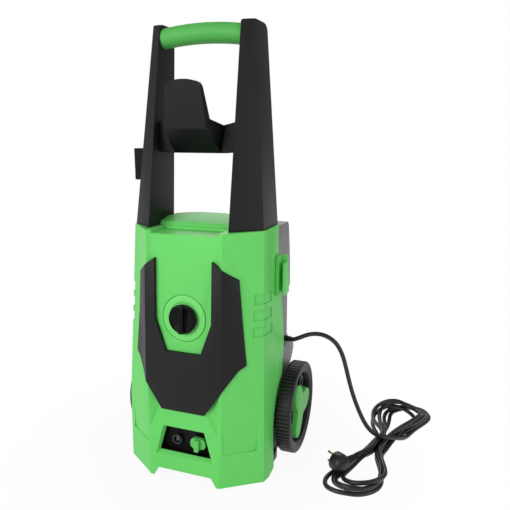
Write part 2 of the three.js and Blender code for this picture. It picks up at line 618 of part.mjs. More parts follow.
// ---------- hose hook between the uprights ----------
function hoseHook() {
  const [beamFront, beamBack] = hook.beam;
  const arc = Array.from({ length: 7 }, (_, k) => {
    const share = 1 - k / 3;
    return [hook.half * share, hook.high - 7 * share * share];
  });
  const face = prismY(rounded([[-hook.foot, hook.low], [hook.foot, hook.low], ...arc], 8, 3), 0, 100);
  const wedge = (shrink) => {
    const section = (half, front, thick) => [
      [-half + shrink, front + shrink], [half - shrink, front + shrink],
      [half - shrink, front + thick + 3 * shrink], [-half + shrink, front + thick + 3 * shrink]];
    return loft(section(hook.foot, hook.front + hook.lean, hook.footThick),
      section(hook.half, hook.front, hook.thick), hook.low, hook.high);
  };
  const paddle = wedge(0).intersect(face)
    .subtract(wedge(hook.shell).intersect(box(-60, 60, 0, 100, hook.low + 26, hook.high - 15)));
  const saddle = loftY(
    [[-hook.foot, hook.low], [hook.foot, hook.low], [hook.foot, hook.low + 20], [-hook.foot, hook.low + 20]],
    [[-47, hook.under], [47, hook.under], [56, hook.saddle], [-56, hook.saddle]],
    hook.front + hook.lean, beamFront + 0.5);
  const reach = upright.base[0][0] - gap;
  const beam = prismY([
    [-reach, hook.under + 2], [-56, hook.under], [56, hook.under], [reach, hook.under + 2],
    [reach, hook.saddle + 8], [46, hook.saddle], [-46, hook.saddle], [-reach, hook.saddle + 8],
  ], beamFront, beamBack);
  const mouth = [[-43, hook.under + hook.shell], [43, hook.under + hook.shell],
    [43, hook.saddle - hook.shell], [-43, hook.saddle - hook.shell]];
  const hollow = loftY([[-38, hook.low - 4], [38, hook.low - 4], [38, hook.low + 12], [-38, hook.low + 12]],
    mouth, hook.front + 20, beamFront).add(prismY(mouth, beamFront - 0.5, beamBack + 1));
  return join([paddle, saddle, beam]).subtract(hollow);
}
piece('hose_hook', hoseHook(), 'black');

// ---------- nozzle holder on the left upright ----------
const rack = { cells: 3, low: 562, high: 625, out: 170, front: 146, back: 166, bore: 7, deep: 15 };

function nozzleRack() {
  const uprightSide = (z) => upright.base[2][0]
    + ((upright.tip[2][0] - upright.base[2][0]) * (z - bottomZ)) / (topZ - bottomZ);
  const body = prismY([
    [uprightSide(rack.low) + gap + 0.4, rack.low], [rack.out, rack.low],
    [rack.out, rack.high], [uprightSide(rack.high) + gap + 0.4, rack.high],
  ], rack.front, rack.back);
  const pitch = (rack.high - rack.low) / rack.cells;
  const cuts = Array.from({ length: rack.cells }, (_, k) => {
    const z = rack.low + pitch * (k + 0.5);
    const socket = cylinderY(rack.bore, rack.back - rack.deep, rack.back + 1, (rack.out + 124) / 2, z, 16);
    const groove = box(124, rack.out + 1, rack.front - 1, rack.front + 1, z + pitch / 2 - 0.8, z + pitch / 2 + 0.8);
    return k < rack.cells - 1 ? socket.add(groove) : socket;
  });
  return mirrored(body.subtract(join(cuts)));
}
piece('nozzle_rack', nozzleRack(), 'black');

// ---------- lance holder on the right side ----------
const holder = { low: 352, high: 426, outerHigh: 414, front: 124, rake: 0.14, back: 158, inner: 7, slot: 8, plate: 4 };

function lanceHolder() {
  const sideX = (z) => planAt(z)[3][0];
  const section = (z) => {
    const x = sideX(z) + gap + 0.1;
    const front = holder.front + holder.rake * (z - holder.low);
    const [slotIn, slotOut] = [x + holder.inner, x + holder.inner + holder.slot];
    return [
      [x, front], [slotIn, front], [slotIn, holder.back - 6], [slotOut, holder.back - 6],
      [slotOut, front], [slotOut + holder.plate, front], [slotOut + holder.plate, holder.back],
      [x, holder.back],
    ];
  };
  const outerTop = box(sideX(holder.high) + holder.inner + 2, 220, 0, holder.back - 6, holder.outerHigh, holder.high + 1);
  return loft(section(holder.low), section(holder.high), holder.low, holder.high).subtract(outerTop);
}
piece('lance_holder', lanceHolder(), 'green');

// ---------- pump and motor, on one upright axis ----------
const unit = new THREE.Group();
unit.position.set(0, power.y, 0);
pieces.add(unit);
const portDepth = { near: -48, far: -20 };

function pumpHead() {
  const bores = [90, 210, 330].map((degrees) => {
    const angle = THREE.MathUtils.degToRad(degrees);
    return cylinderZ(pump.piston + gap, pump.high - 40, pump.high + 1,
      pump.bores * Math.cos(angle), pump.bores * Math.sin(angle), fine);
  });
  const ports = [outlet, inlet].map(({ x, z }) => cylinderY(10, portDepth.near, portDepth.far, x, z, 16));
  const switchPort = cylinderX(8, 30, 50, 0, 90, fine);
  const drillings = [outlet, inlet].map(({ x, z }) => cylinderY(4, portDepth.near - 1, portDepth.far, x, z, 8));
  return join([cylinderZ(pump.radius, pump.low, pump.high), ...ports, switchPort])
    .subtract(join([...bores, ...drillings]));
}
piece('pump_head', pumpHead(), 'aluminium', unit);

const wedge = { radius: 34, low: 143, high: 172, tilt: 8 };
[90, 210, 330].forEach((degrees, k) => {
  const angle = THREE.MathUtils.degToRad(degrees);
  const [x, y] = [pump.bores * Math.cos(angle), pump.bores * Math.sin(angle)];
  const plunger = cylinderZ(pump.piston, pump.high - 34, wedge.low - 1.6, x, y, fine)
    .add(cylinderZ(pump.piston + 2.6, wedge.low - 4, wedge.low - 1, x, y, fine));
  piece(`piston_${k + 1}`, plunger, 'steel', unit);
});

const crankTop = crank.high - bearing.thick;
const crankFloor = pump.high + gap;
const crankCase = cylinderZ(crank.radius, crankFloor, crank.high)
  .subtract(cylinderZ(crank.radius - crank.wall, crankFloor + 4, crankTop - 2))
  .subtract(cylinderZ(bearing.outer + gap, crankTop - 3, crank.high + 1))
  .subtract(join([90, 210, 330].map((degrees) => {
    const angle = THREE.MathUtils.degToRad(degrees);
    return cylinderZ(pump.piston + gap, crankFloor - 1, crankFloor + 6,
      pump.bores * Math.cos(angle), pump.bores * Math.sin(angle), fine);
  })));
piece('crank_case', crankCase, 'aluminium', unit);

const wedgeCut = prismX([[-80, 100], [80, 100], [80, wedge.low + 80 * Math.tan(THREE.MathUtils.degToRad(wedge.tilt))
  + wedge.radius * Math.tan(THREE.MathUtils.degToRad(wedge.tilt))], [-80, wedge.low
  - (80 - wedge.radius) * Math.tan(THREE.MathUtils.degToRad(wedge.tilt))]], -80, 80);
piece('wobble_plate', ringZ(wedge.radius, motor.shaft + gap, wedge.low, wedge.high, 0, 0)
  .subtract(wedgeCut), 'steel', unit);

piece('bearing_lower', ringZ(bearing.outer, motor.shaft + gap, crankTop, crank.high - 0.5, 0, 0), 'steel', unit);

const casingLow = crank.high + gap;
piece('motor_casing', ringZ(motor.radius, motor.radius - wall, casingLow, motor.high, 0, 0), 'gray', unit);

const stack = { low: 252, high: 318 };
const stator = ringZ(motor.radius - wall - gap, motor.stator + motor.air, stack.low, stack.high, 0, 0)
  .add(ringZ(motor.radius - 12, motor.stator + 6, stack.low - 14, stack.high + 14, 0, 0))
  .subtract(join(Array.from({ length: 12 }, (_, k) =>
    box(motor.stator - 1, motor.radius - 16, -3, 3, stack.low - 20, stack.high + 20).rotate([0, 0, 30 * k]))));
piece('stator', stator, 'copper', unit);

const fan = { hub: 13, radius: 50, low: motor.high + 15, blades: 9, tall: 13 };
const rotor = join([
  cylinderZ(motor.stator, stack.low + 2, stack.high - 2),
  cylinderZ(motor.shaft, wedge.low + 8, fan.low + fan.tall + 4),
]);
piece('rotor', rotor, 'steel', unit);

const coverLow = motor.high + gap;
piece('motor_cover', cylinderZ(motor.radius, coverLow, coverLow + bearing.thick)
  .subtract(cylinderZ(bearing.outer + gap, coverLow - 1, coverLow + 20))
  .subtract(join([0, 60, 120, 180, 240, 300].map((degrees) => {
    const angle = THREE.MathUtils.degToRad(degrees);
    return cylinderZ(8, coverLow - 1, coverLow + 20, 40 * Math.cos(angle), 40 * Math.sin(angle), 8);
  }))), 'aluminium', unit);
piece('bearing_upper', ringZ(bearing.outer, motor.shaft + gap, coverLow + 0.5, coverLow + bearing.thick - 0.5, 0, 0),
  'steel', unit);

const blade = box(fan.hub - 2, fan.radius, -1, 1, fan.low, fan.low + fan.tall);
const fanWheel = ringZ(fan.hub, motor.shaft + gap, fan.low - 1, fan.low + fan.tall, 0, 0)
  .add(ringZ(fan.radius, motor.shaft + gap, fan.low, fan.low + 2, 0, 0))
  .add(join(Array.from({ length: fan.blades }, (_, k) => blade.rotate([0, 0, (360 * k) / fan.blades]))));
piece('fan', fanWheel, 'black', unit);

const capacitor = { radius: 17, low: 250, high: 330 };
piece('capacitor', cylinderZ(capacitor.radius, capacitor.low, capacitor.high,
  0, motor.radius + gap + capacitor.radius), 'gray', unit);

// cradle: a plate on four posts that carries the crank case over the chassis tray
const cradle = { low: 110, post: 6, spread: 44 };
const posts = [[1, 1], [-1, 1], [1, -1], [-1, -1]].map(([sx, sy]) => {
  const [x, y] = [sx * cradle.spread, sy * (cradle.spread - 8)];
  return box(x - cradle.post, x + cradle.post, y - cradle.post, y + cradle.post,
    chassis.low + chassis.floor + gap, cradle.low + 2);
});
piece('motor_cradle', cylinderZ(crank.radius + 6, cradle.low, crankFloor - gap)
  .add(join(posts))
  .subtract(cylinderZ(pump.radius + gap, 0, crankFloor + 1)), 'black', unit);

// stop switch that the outlet pressure works
piece('pressure_switch', box(50 + gap, 80, -14, 14, 74, 108), 'black', unit);

// pipes from the two ports to the pump head
for (const [name, { x, z }, look] of [['outlet_pipe', outlet, 'brass'], ['inlet_pipe', inlet, 'black']]) {
  const [near, far] = [fitting.rear + gap, power.y + portDepth.near - gap];
  const pipe = join([
    cylinderY(6, near, far, x, z, fine), cylinderY(9.5, near, near + 8, x, z, 6),
    cylinderY(9.5, far - 8, far, x, z, 6),
  ]).subtract(cylinderY(3.5, near - 1, far + 1, x, z, 8));
  piece(name, pipe, look);
}

// ---------- cord, hank and plug ----------
const cordRadius = cord.diameter / 2;
const glandBody = join([
  cylinderX(gland.bore, gland.inner, rear.half + 2, gland.y, gland.z),
  cylinderX(gland.collar, rear.half + gap, rear.half + 5, gland.y, gland.z),
  solid(new THREE.CylinderGeometry(5.4, 6.6, gland.end - rear.half - 5, round)
    .rotateZ(-Math.PI / 2).translate((gland.end + rear.half + 5) / 2, gland.y, gland.z)),
]);
piece('cord_gland', glandBody, 'black');

// hank: (along, across) outlines about its waist, turned to lie beside the machine
const hank = {
  x: 338, y: 240, turn: 74.5, single: 10, double: 20, waist: 26,
  upper: [[-5, 22], [50, 34], [104, 70], [142, 74], [176, 48], [204, 28], [215, -12], [204, -42],
    [184, -53], [110, -44], [45, -36], [-5, -24]],
  lowerRight: [[5, -22], [-48, -36], [-100, -62], [-142, -60], [-178, -34], [-200, 6], [-184, 24],
    [-170, -8], [-138, -36], [-90, -26], [5, 8]],
  lowerLeft: [[5, 24], [-60, 36], [-110, 48], [-168, 50], [-196, 28], [-200, 4], [-180, -8], [-162, 2],
    [-120, 0], [-60, -8], [5, -10]],
  tied: [[-26, 22], [26, 24], [26, -26], [-26, -24]],
};
const onHank = hank.waist + gap + cordRadius;   // height of a cord that lies across the waist

// free stretch: out of the gland, over and down, to the top of the hank's waist
const freeStretch = [
  [gland.end + gap, gland.y, gland.z], [157, gland.y, gland.z + 0.2], [168, 204.6, 241],
  [182, 208, 247.4], [195, 210, 251],
  [209, 212, 251.6], [222, 213.4, 248.6], [234, 215, 242], [244, 216.6, 232.5], [252, 218, 219],
  [258.5, 220, 202], [264, 222, 181], [269, 224, 160], [274, 226, 140], [280, 228.5, 119], [287, 230.6, 99],
  [295, 232.6, 79], [304, 234.4, 60.5], [314, 236, 45.8], [325, 237.4, onHank + 5.2], [337, 238.6, onHank],
];
piece('power_cord', tube(freeStretch, cordRadius, cord.sides, cord.steps), 'rubber');

function lieOnFloor(manifold) {
  return manifold.rotate([0, 0, hank.turn]).translate([hank.x, hank.y, 0]);
}
const hankBody = join([
  prismZ(rounded(hank.upper, 30, 3), 0, hank.double),
  prismZ(rounded(hank.lowerRight, 26, 3), 0, hank.double),
  prismZ(rounded(hank.lowerLeft, 26, 3), 0, hank.single),
  prismZ(rounded(hank.tied, 10, 2), 0, hank.waist),
]);
piece('cord_hank', lieOnFloor(hankBody), 'rubber');

// right-angle plug lying on the hank: local +Z is the way that the pins point
const plug = { x: 277, y: 118, radius: 18.5, thick: 26, pin: 2.4, pinLength: 19, pitch: 19, exit: 30 };
const plugGroup = new THREE.Group();
plugGroup.position.set(plug.x, plug.y, hank.single + gap + plug.radius);
plugGroup.rotation.set(-Math.PI / 2, 0, THREE.MathUtils.degToRad(57), 'ZYX');
pieces.add(plugGroup);
const relief = solid(new THREE.CylinderGeometry(7.5, 5.4, plug.exit, fine)
  .rotateZ(Math.PI / 2).translate(plug.radius + plug.exit / 2 - 4, 0, 0));
const plugBody = turned([
  [0, -plug.thick / 2], [12, -plug.thick / 2], [plug.radius - 2, -plug.thick / 2 + 5], [plug.radius, -plug.thick / 2 + 8],
  [plug.radius, plug.thick / 2], [0, plug.thick / 2],
]).add(relief.translate(0, 0, -3));
const pinPlaces = [1, -1].map((sign) => sign * plug.pitch / 2);
piece('plug_body', plugBody.subtract(join(pinPlaces.map((y) =>
  cylinderZ(plug.pin + gap, plug.thick / 2 - 6, plug.thick, 0, y, 10)))), 'rubber', plugGroup);
pinPlaces.forEach((y, k) => {
  piece(`plug_pin_${k + 1}`, cylinderZ(plug.pin, plug.thick / 2 - 6 + gap, plug.thick / 2 + plug.pinLength, 0, y, 10),
    'brass', plugGroup);
});

export default washer;
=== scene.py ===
# Upright electric pressure washer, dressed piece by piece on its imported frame.
# Metres, +Z up, the front faces -Y.
import math

import bmesh
import bpy
from mathutils import Matrix, Vector


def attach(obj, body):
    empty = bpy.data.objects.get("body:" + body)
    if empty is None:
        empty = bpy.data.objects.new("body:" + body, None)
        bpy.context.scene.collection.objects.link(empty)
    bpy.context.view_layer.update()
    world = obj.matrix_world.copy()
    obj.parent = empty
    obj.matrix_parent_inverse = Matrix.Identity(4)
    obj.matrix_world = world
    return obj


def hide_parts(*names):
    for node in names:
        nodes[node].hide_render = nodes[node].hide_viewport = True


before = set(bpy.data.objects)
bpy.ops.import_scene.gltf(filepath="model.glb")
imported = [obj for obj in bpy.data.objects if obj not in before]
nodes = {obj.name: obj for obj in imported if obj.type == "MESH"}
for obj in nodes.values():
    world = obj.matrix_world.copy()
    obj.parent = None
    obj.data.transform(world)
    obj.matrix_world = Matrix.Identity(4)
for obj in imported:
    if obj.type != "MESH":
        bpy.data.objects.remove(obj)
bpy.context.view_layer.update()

# ---------------------------------------------------------------- studio
# A white floor in a white room, one broad lamp in front on the left, a weaker one on
# the right and one behind, and a camera in front on the right, level with the handle.


def put(name, data):
    """Puts a new object of this data in the scene."""
    obj = bpy.data.objects.new(name, data)
    bpy.context.scene.collection.objects.link(obj)
    return obj


camera = put("camera", bpy.data.cameras.new("camera"))
tilt_down = math.radians(12.266)
turn_left = math.radians(20.043)
camera.location = (0.4536, -0.9898, 0.6523)
camera.rotation_euler = (math.radians(90) - tilt_down, 0, turn_left)
camera.data.sensor_width = 36
camera.data.lens = 39.13
bpy.context.scene.camera = camera
bpy.context.scene.view_settings.view_transform = "Standard"

lamp_aim = Vector((0, 0, 0.42))


def lamp(name, place, size, power):
    """A rectangular studio lamp of that size in metres and power in watts, aimed at the machine."""
    light = bpy.data.lights.new(name, "AREA")
    light.shape = "RECTANGLE"
    light.size, light.size_y = size
    light.energy = power
    stand = put(name, light)
    stand.location = place
    stand.rotation_euler = (Vector(place) - lamp_aim).to_track_quat("Z", "Y").to_euler()


lamp("lamp_front", (-0.9, -2.1, 1.25), (1.5, 1.5), 34)
lamp("lamp_right", (2.3, -0.7, 1.0), (1.1, 1.6), 14)
lamp("lamp_back", (-0.6, 2.2, 1.6), (1.4, 1.4), 16)


class Signal:
    """A socket's value in a material, worked on with ordinary arithmetic."""

    def __init__(self, finish, socket):
        self.finish = finish
        self.socket = socket

    def _math(self, operation, first, second):
        return self.finish.add("Math", {"operation": operation}, {0: first, 1: second})

    def __add__(self, other):
        return self._math("ADD", self, other)

    def __radd__(self, other):
        return self._math("ADD", other, self)

    def __sub__(self, other):
        return self._math("SUBTRACT", self, other)

    def __rsub__(self, other):
        return self._math("SUBTRACT", other, self)

    def __mul__(self, other):
        return self._math("MULTIPLY", self, other)

    def __rmul__(self, other):
        return self._math("MULTIPLY", other, self)


class Finish:
    """A material, or the room's light, built up node by node."""

    def __init__(self, owner):
        self.owner = owner
        owner.use_nodes = True
        self.tree = owner.node_tree
        self.tree.nodes.clear()

    def add(self, kind, settings=None, values=None, out=0):
        """Adds a node, with its settings first and then the values or links of its sockets, and
        gives the output of that number or name."""
        node = self.tree.nodes.new("ShaderNode" + kind)
        for key, value in (settings or {}).items():
            if key == "stops":
                ramp = node.color_ramp.elements
                while len(ramp) < len(value):
                    ramp.new(0.5)
                for stop, (place, level) in zip(ramp, value):
                    stop.position = place
                    stop.color = (level, level, level, 1)
            else:
                setattr(node, key, value)
        for key, value in (values or {}).items():
            if isinstance(key, int):
                socket = node.inputs[key]
            else:
                socket = next(s for s in node.inputs if s.name == key and s.enabled)
            if isinstance(value, Signal):
                self.tree.links.new(value.socket, socket)
            elif socket.type == "RGBA" and len(value) == 3:
                socket.default_value = (*value, 1)
            else:
                socket.default_value = value
        if isinstance(out, int):
            socket = [s for s in node.outputs if s.enabled][out]
        else:
            socket = node.outputs[out]
        return Signal(self, socket)

    def mix(self, share, first, second):
        """The first colour where share is 0, the second where it is 1."""
        values = {"Factor": share, "A": first, "B": second}
        return self.add("Mix", {"data_type": "RGBA"}, values)

    def end(self, shader, kind="Material"):
        """Makes the shader the surface of the material, or of the world."""
        output = self.tree.nodes.new("ShaderNodeOutput" + kind)
        self.tree.links.new(shader.socket, output.inputs["Surface"])
        return self.owner


floor_mesh = bmesh.new()
bmesh.ops.create_grid(floor_mesh, x_segments=1, y_segments=1, size=6)
floor_data = bpy.data.meshes.new("floor")
floor_mesh.to_mesh(floor_data)
floor_mesh.free()
put("floor", floor_data)

# seen straight on and in gloss the floor is plain white, but for a little of the machine's
# shadow near the middle
paint = Finish(bpy.data.materials.new("floor_white"))
seen = paint.add("LightPath", out="Is Camera Ray") + paint.add("LightPath", out="Is Glossy Ray")
lit = paint.add("BsdfDiffuse", {}, {"Color": (0.7, 0.7, 0.7)})
bright = paint.add("Emission", {}, {"Color": (1, 1, 1), "Strength": 1.0})
spot = paint.add("TexCoord", out="Object")
far = paint.add("VectorMath", {"operation": "LENGTH"}, {"Vector": spot}, out="Value")
clean = paint.add("ValToRGB", {"stops": [(0.10, 0.93), (0.24, 1)]}, {"Fac": far * 0.5})
surface = paint.add("MixShader", {}, {0: seen * clean, 1: lit, 2: bright})
floor_data.materials.append(paint.end(surface))

# the room is plain white straight on and through glass, and dimmer in gloss and as a light
in_gloss, as_light = 0.3, 0.42
room = bpy.data.worlds.new("room")
bpy.context.scene.world = room
air = Finish(room)
direct = air.add("LightPath", out="Is Camera Ray") + air.add("LightPath", out="Is Transmission Ray")
gloss = air.add("LightPath", out="Is Glossy Ray")
strength = direct + gloss * (1 - direct) * in_gloss + as_light * (1 - direct) * (1 - gloss)
air.end(air.add("Background", {}, {"Color": (1, 1, 1), "Strength": strength}), "World")

# ---------------------------------------------------------------- mains lead
# Round 9 mm lead in black rubber. It leaves the gland on the right, drops to the floor and
# lies there as a hank of five long turns in a figure of eight, pinned at its waist.
lead = 0.009
lead_radius = lead / 2
waist = Vector((0.338, 0.097))
hank_turn = math.radians(74.5)
along = Vector((math.cos(hank_turn), math.sin(hank_turn)))
across = Vector((-along.y, along.x))
on_hank = 0.0305    # height of the lead where it crosses the waist

# from the gland over and down to the waist
free_run = [
    (0.1498, 0.060, 0.2365), (0.157, 0.060, 0.2367), (0.168, 0.0616, 0.241),
    (0.182, 0.065, 0.2474), (0.195, 0.067, 0.251), (0.209, 0.069, 0.2516),
    (0.222, 0.0704, 0.2486), (0.234, 0.072, 0.242), (0.244, 0.0736, 0.2325),
    (0.252, 0.075, 0.219), (0.2585, 0.077, 0.202), (0.264, 0.079, 0.181),
    (0.269, 0.081, 0.160), (0.274, 0.083, 0.140), (0.280, 0.0855, 0.119),
    (0.287, 0.0876, 0.099), (0.295, 0.0896, 0.079), (0.304, 0.0914, 0.0605),
    (0.314, 0.093, 0.0458), (0.325, 0.0944, on_hank + 0.0055),
]

# each long turn leaves the waist, opens into a round end and comes back:
# reach, lean to the left, radius of the end, how far each side swells
far_turns = [
    (0.206, -0.004, 0.042, (0, -0.008)), (0.197, 0.002, 0.045, (0, -0.004)),
    (0.180, 0.019, 0.046, (0.004, 0.006)), (0.189, 0.006, 0.048, (0, 0)),
    (0.176, 0.013, 0.050, (0, 0.006)),
]
near_turns = [
    (0.190, -0.006, 0.049, (0.002, -0.002)), (0.174, -0.010, 0.043, (0.001, 0)),
    (0.186, -0.016, 0.039, (-0.006, -0.004)), (0.172, -0.023, 0.038, (-0.006, 0.002)),
]
# how far from the waist's middle each turn is pinned
pinned = [0.0144, 0.0048, 0.0144, 0.0048, 0.0096, 0.0040]
plug_high = 0.0288    # height of the plug's middle
point_gap = 0.003     # from one point of the lead to the next
joins = 0.048         # how far out the lead's last stretch joins the first turn


def long_turn(reach, lean, radius, swell, leave, back, way):
    """Points of one turn as (along, across), away from the waist and back. Leave and back are
    how far from the waist's middle it starts and ends. Way is 1 for a far turn, -1 for a near."""
    straight = reach - radius
    side = radius * 0.62
    near, wide = way * straight * 0.22, way * straight * 0.62
    points = [(0, -way * leave), (near, -way * leave * 1.05 + lean * 0.06)]
    points.append((wide, -way * (leave * 0.38 + side) + lean * 0.52 + swell[0]))
    for degrees in range(-112, 113, 28):
        angle = math.radians(degrees)
        out, over = radius * math.cos(angle), radius * math.sin(angle)
        points.append((way * (straight + out), way * over + lean))
    points.append((wide, way * (back * 0.38 + side) + lean * 0.52 + swell[1]))
    points.append((near, way * back * 1.05 + lean * 0.06))
    skew = 0.27 if way > 0 else 7.4 * radius    # the turns splay as they run out
    return [(a - skew * t * abs(a) / reach, t) for a, t in points]


def smooth_line(points):
    """A rounded line through the points, with new points at the lead's gap."""
    line = []
    for k in range(len(points) - 1):
        before, start = points[max(k - 1, 0)], points[k]
        end, after = points[k + 1], points[min(k + 2, len(points) - 1)]
        square = 2 * before - 5 * start + 4 * end - after
        cube = 3 * start - before - 3 * end + after
        count = max(1, round((end - start).length / point_gap))
        for j in range(count):
            t = j / count
            line.append(0.5 * (2 * start + (end - before) * t + square * t * t + cube * t ** 3))
    return line + [points[-1].copy()]


def eased(line, times, kept=1):
    """The line with its kinks eased out, but for its first few points and its last one."""
    for _ in range(times):
        moved = [(line[k - 1] + 2 * line[k] + line[k + 1]) / 4 for k in range(kept, len(line) - 1)]
        line = line[:kept] + moved + [line[-1]]
    return line


turns = []
for k, far_turn in enumerate(far_turns):
    turns += [Vector(p) for p in long_turn(*far_turn, pinned[k], pinned[k + k // 4], 1)]
    if k < len(near_turns):
        turns += [Vector(p) for p in long_turn(*near_turns[k], pinned[k], pinned[k + 1], -1)]
first_out = next(k for k, p in enumerate(turns) if p.x > joins)
from_gland = [(-0.003, -0.001), (0.004, -0.012), (0.017, -0.022), (0.034, -0.028)]
to_plug = [(0, 0.0040), (-0.033, 0.0005), (-0.063, 0.0045), (-0.0915, 0.0129)]
plan = [Vector(p) for p in from_gland] + turns[first_out:] + [Vector(p) for p in to_plug]
plan = eased(smooth_line(plan), 24)
floor_run = [waist + along * p.x + across * p.y for p in plan]

# the turns are laid one after the other: each lies on the floor, or on what is under it,
# and rises and falls no more steeply than the lead bends
steepest = 0.26
touching = 0.0000035    # leads that overlap by less than this lie side by side
tip_reach = 0.14        # a turn's tip is at least this far from the waist,
beside = 5              # and no nearer to it than this many points on each side
height = [on_hank] + [lead_radius] * (len(plan) - 2) + [plug_high]
tips = [k for k in range(beside, len(plan) - beside)
        if abs(plan[k].x) > tip_reach
        and abs(plan[k].x) >= max(abs(p.x) for p in plan[k - beside:k + beside + 1])]
start_out = next(k for k, p in enumerate(plan) if p.x > joins)
cuts = [start_out] + [k for k in tips if k > start_out + 20] + [len(plan)]
laid = []
for low, high in list(zip(cuts, cuts[1:])) + [(0, start_out)]:
    fresh = range(low, high)
    for k in fresh:
        x, y = floor_run[k]
        for other in laid:
            over = lead * lead - (floor_run[other].x - x) ** 2 - (floor_run[other].y - y) ** 2
            if over > touching:
                height[k] = max(height[k], height[other] + math.sqrt(over))
    for k in fresh[1:]:
        fall = steepest * (floor_run[k] - floor_run[k - 1]).length
        height[k] = max(height[k], height[k - 1] - fall)
    for k in fresh[:0:-1]:
        fall = steepest * (floor_run[k] - floor_run[k - 1]).length
        height[k - 1] = max(height[k - 1], height[k] - fall)
    laid += fresh

# the heights are evened out over a few points to each side
each_side = 8
span = 2 * each_side + 1
padded = [height[0]] * each_side + height + [height[-1]] * each_side
height = [sum(padded[k:k + span]) / span for k in range(len(height))]

floor_line = [Vector((*p, z)) for p, z in zip(floor_run, height)]
free_line = smooth_line([Vector(p) for p in free_run] + [floor_line[0]])
route = eased(free_line[:-1] + floor_line, 6, kept=4)

lead_curve = bpy.data.curves.new("mains_lead", "CURVE")
lead_curve.dimensions = "3D"
lead_curve.bevel_depth = lead_radius
lead_curve.bevel_resolution = 3
lead_curve.use_fill_caps = True
spline = lead_curve.splines.new("POLY")
spline.points.add(len(route) - 1)
for point, place in zip(spline.points, route):
    point.co = (*place, 1)
mains_lead = put("mains_lead", lead_curve)


def shade(colour, factor):
    """The colour made lighter or darker."""
    return tuple(min(1, channel * factor) for channel in colour)


def black_rubber(name, colour, gloss, dust):
    """Pressed rubber: dull patches, a fine skin and a little pale dust."""
    rubber = Finish(bpy.data.materials.new(name))
    where = rubber.add("TexCoord", out="Object")
    patch = rubber.add("TexNoise", {}, {"Vector": where, "Scale": 34.0, "Detail": 4.0}, out="Fac")
    skin = rubber.add("TexNoise", {}, {"Vector": where, "Scale": 850.0, "Detail": 1.0}, out="Fac")
    specks = rubber.add("TexNoise", {}, {"Vector": where, "Scale": 420.0, "Detail": 2.0}, out="Fac")
    settled = rubber.add("ValToRGB", {"stops": [(0.60, 0), (0.78, 1)]}, {"Fac": specks}) * dust
    tone = rubber.mix(patch, shade(colour, 0.75), shade(colour, 1.3))
    tone = rubber.mix(settled, tone, (0.16, 0.155, 0.15))
    relief = rubber.add("Bump", {}, {"Strength": 0.15, "Distance": 0.0003, "Height": skin},
                        out="Normal")
    return rubber.end(rubber.add("BsdfPrincipled", {}, {
        "Base Color": tone, "Roughness": gloss + 0.14 * patch, "Specular IOR Level": 0.45,
        "Normal": relief}))


lead_curve.materials.append(black_rubber("lead_rubber", (0.013, 0.013, 0.0135), 0.30, 0.10))
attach(mains_lead, "washer")
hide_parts("power_cord", "cord_hank")


def turned(points, centre, axis, steps):
    """A turned shape of (radius, distance) points, about and along an axis from a centre."""
    mesh = bmesh.new()
    centre = Vector(centre)
    axis = Vector(axis).normalized()
    side = axis.orthogonal().normalized()
    line = [mesh.verts.new(centre + side * radius + axis * reach) for radius, reach in points]
    edges = [mesh.edges.new(pair) for pair in zip(line, line[1:])]
    bmesh.ops.spin(mesh, geom=line + edges, cent=centre, axis=axis, angle=math.tau, steps=steps,
                   use_merge=True)
    bmesh.ops.remove_doubles(mesh, verts=mesh.verts, dist=0.000002)
    bmesh.ops.recalc_face_normals(mesh, faces=mesh.faces)
    return mesh


def fit(mesh, name, material, body, stands_for=(), crease=32):
    """Makes a piece of a mesh, smooth except where it turns by more than crease degrees."""
    for face in mesh.faces:
        face.smooth = True
    for edge in mesh.edges:
        edge.smooth = len(edge.link_faces) == 2 and edge.calc_face_angle() < math.radians(crease)
    data = bpy.data.meshes.new(name)
    mesh.to_mesh(data)
    mesh.free()
    data.materials.append(material)
    piece = put(name, data)
    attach(piece, body)
    if stands_for:
        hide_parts(*stands_for)
    return piece


# ---------------------------------------------------------------- plug
# Two-pin right-angle mains plug moulded in black rubber on the lead's end, with a flat back,
# a ribbed relief and two round brass pins. It lies on the hank's near turns.


def ribs(count, start, pitch, radius, taper, groove, edges):
    """Outline of a row of ribs that shrink towards the lead. Edges are where in each pitch the
    rib ends, and where the floor of its groove starts and ends."""
    outline = []
    for rib in range(count):
        low = start + rib * pitch
        outer = radius - taper * rib
        rib_end, groove_start, groove_end = (low + edge for edge in edges)
        outline += [(outer, low), (outer, rib_end)]
        outline += [(outer - groove, groove_start), (outer - groove, groove_end)]
    return outline


def join(mesh, other):
    """Adds another shape to a mesh, as one more shell of the same piece."""
    data = bpy.data.meshes.new("shell")
    other.to_mesh(data)
    other.free()
    mesh.from_mesh(data)
    bpy.data.meshes.remove(data)


plug_place = (Matrix.Translation((0.277, -0.025, plug_high))
              @ Matrix.Rotation(math.radians(57), 4, "Z")
              @ Matrix.Rotation(math.radians(-90), 4, "X"))
plug_rubber = black_rubber("plug_rubber", (0.012, 0.012, 0.0125), 0.36, 0.12)
moulding = turned([(0, -0.013), (0.0105, -0.013), (0.0150, -0.0112), (0.0176, -0.0075),
                   (0.0184, -0.003), (0.0184, 0.0112), (0.0176, 0.0128), (0.0158, 0.013),
                   (0.0150, 0.0122), (0, 0.0122)], (0, 0, 0), (0, 0, 1), 48)
sleeve = [(0.0074, 0.0125)]
sleeve += ribs(6, 0.0170, 0.0046, 0.0074, 0.00036, 0.0015, (0.0021, 0.0026, 0.0041))
sleeve += [(0.0052, 0.0444), (0.0046, 0.0445)]
join(moulding, turned(sleeve, (0, 0, -0.003), (1, 0, 0), 24))
bmesh.ops.transform(moulding, matrix=plug_place, verts=moulding.verts)
plug = fit(moulding, "plug", plug_rubber, "washer", ["plug_body"])


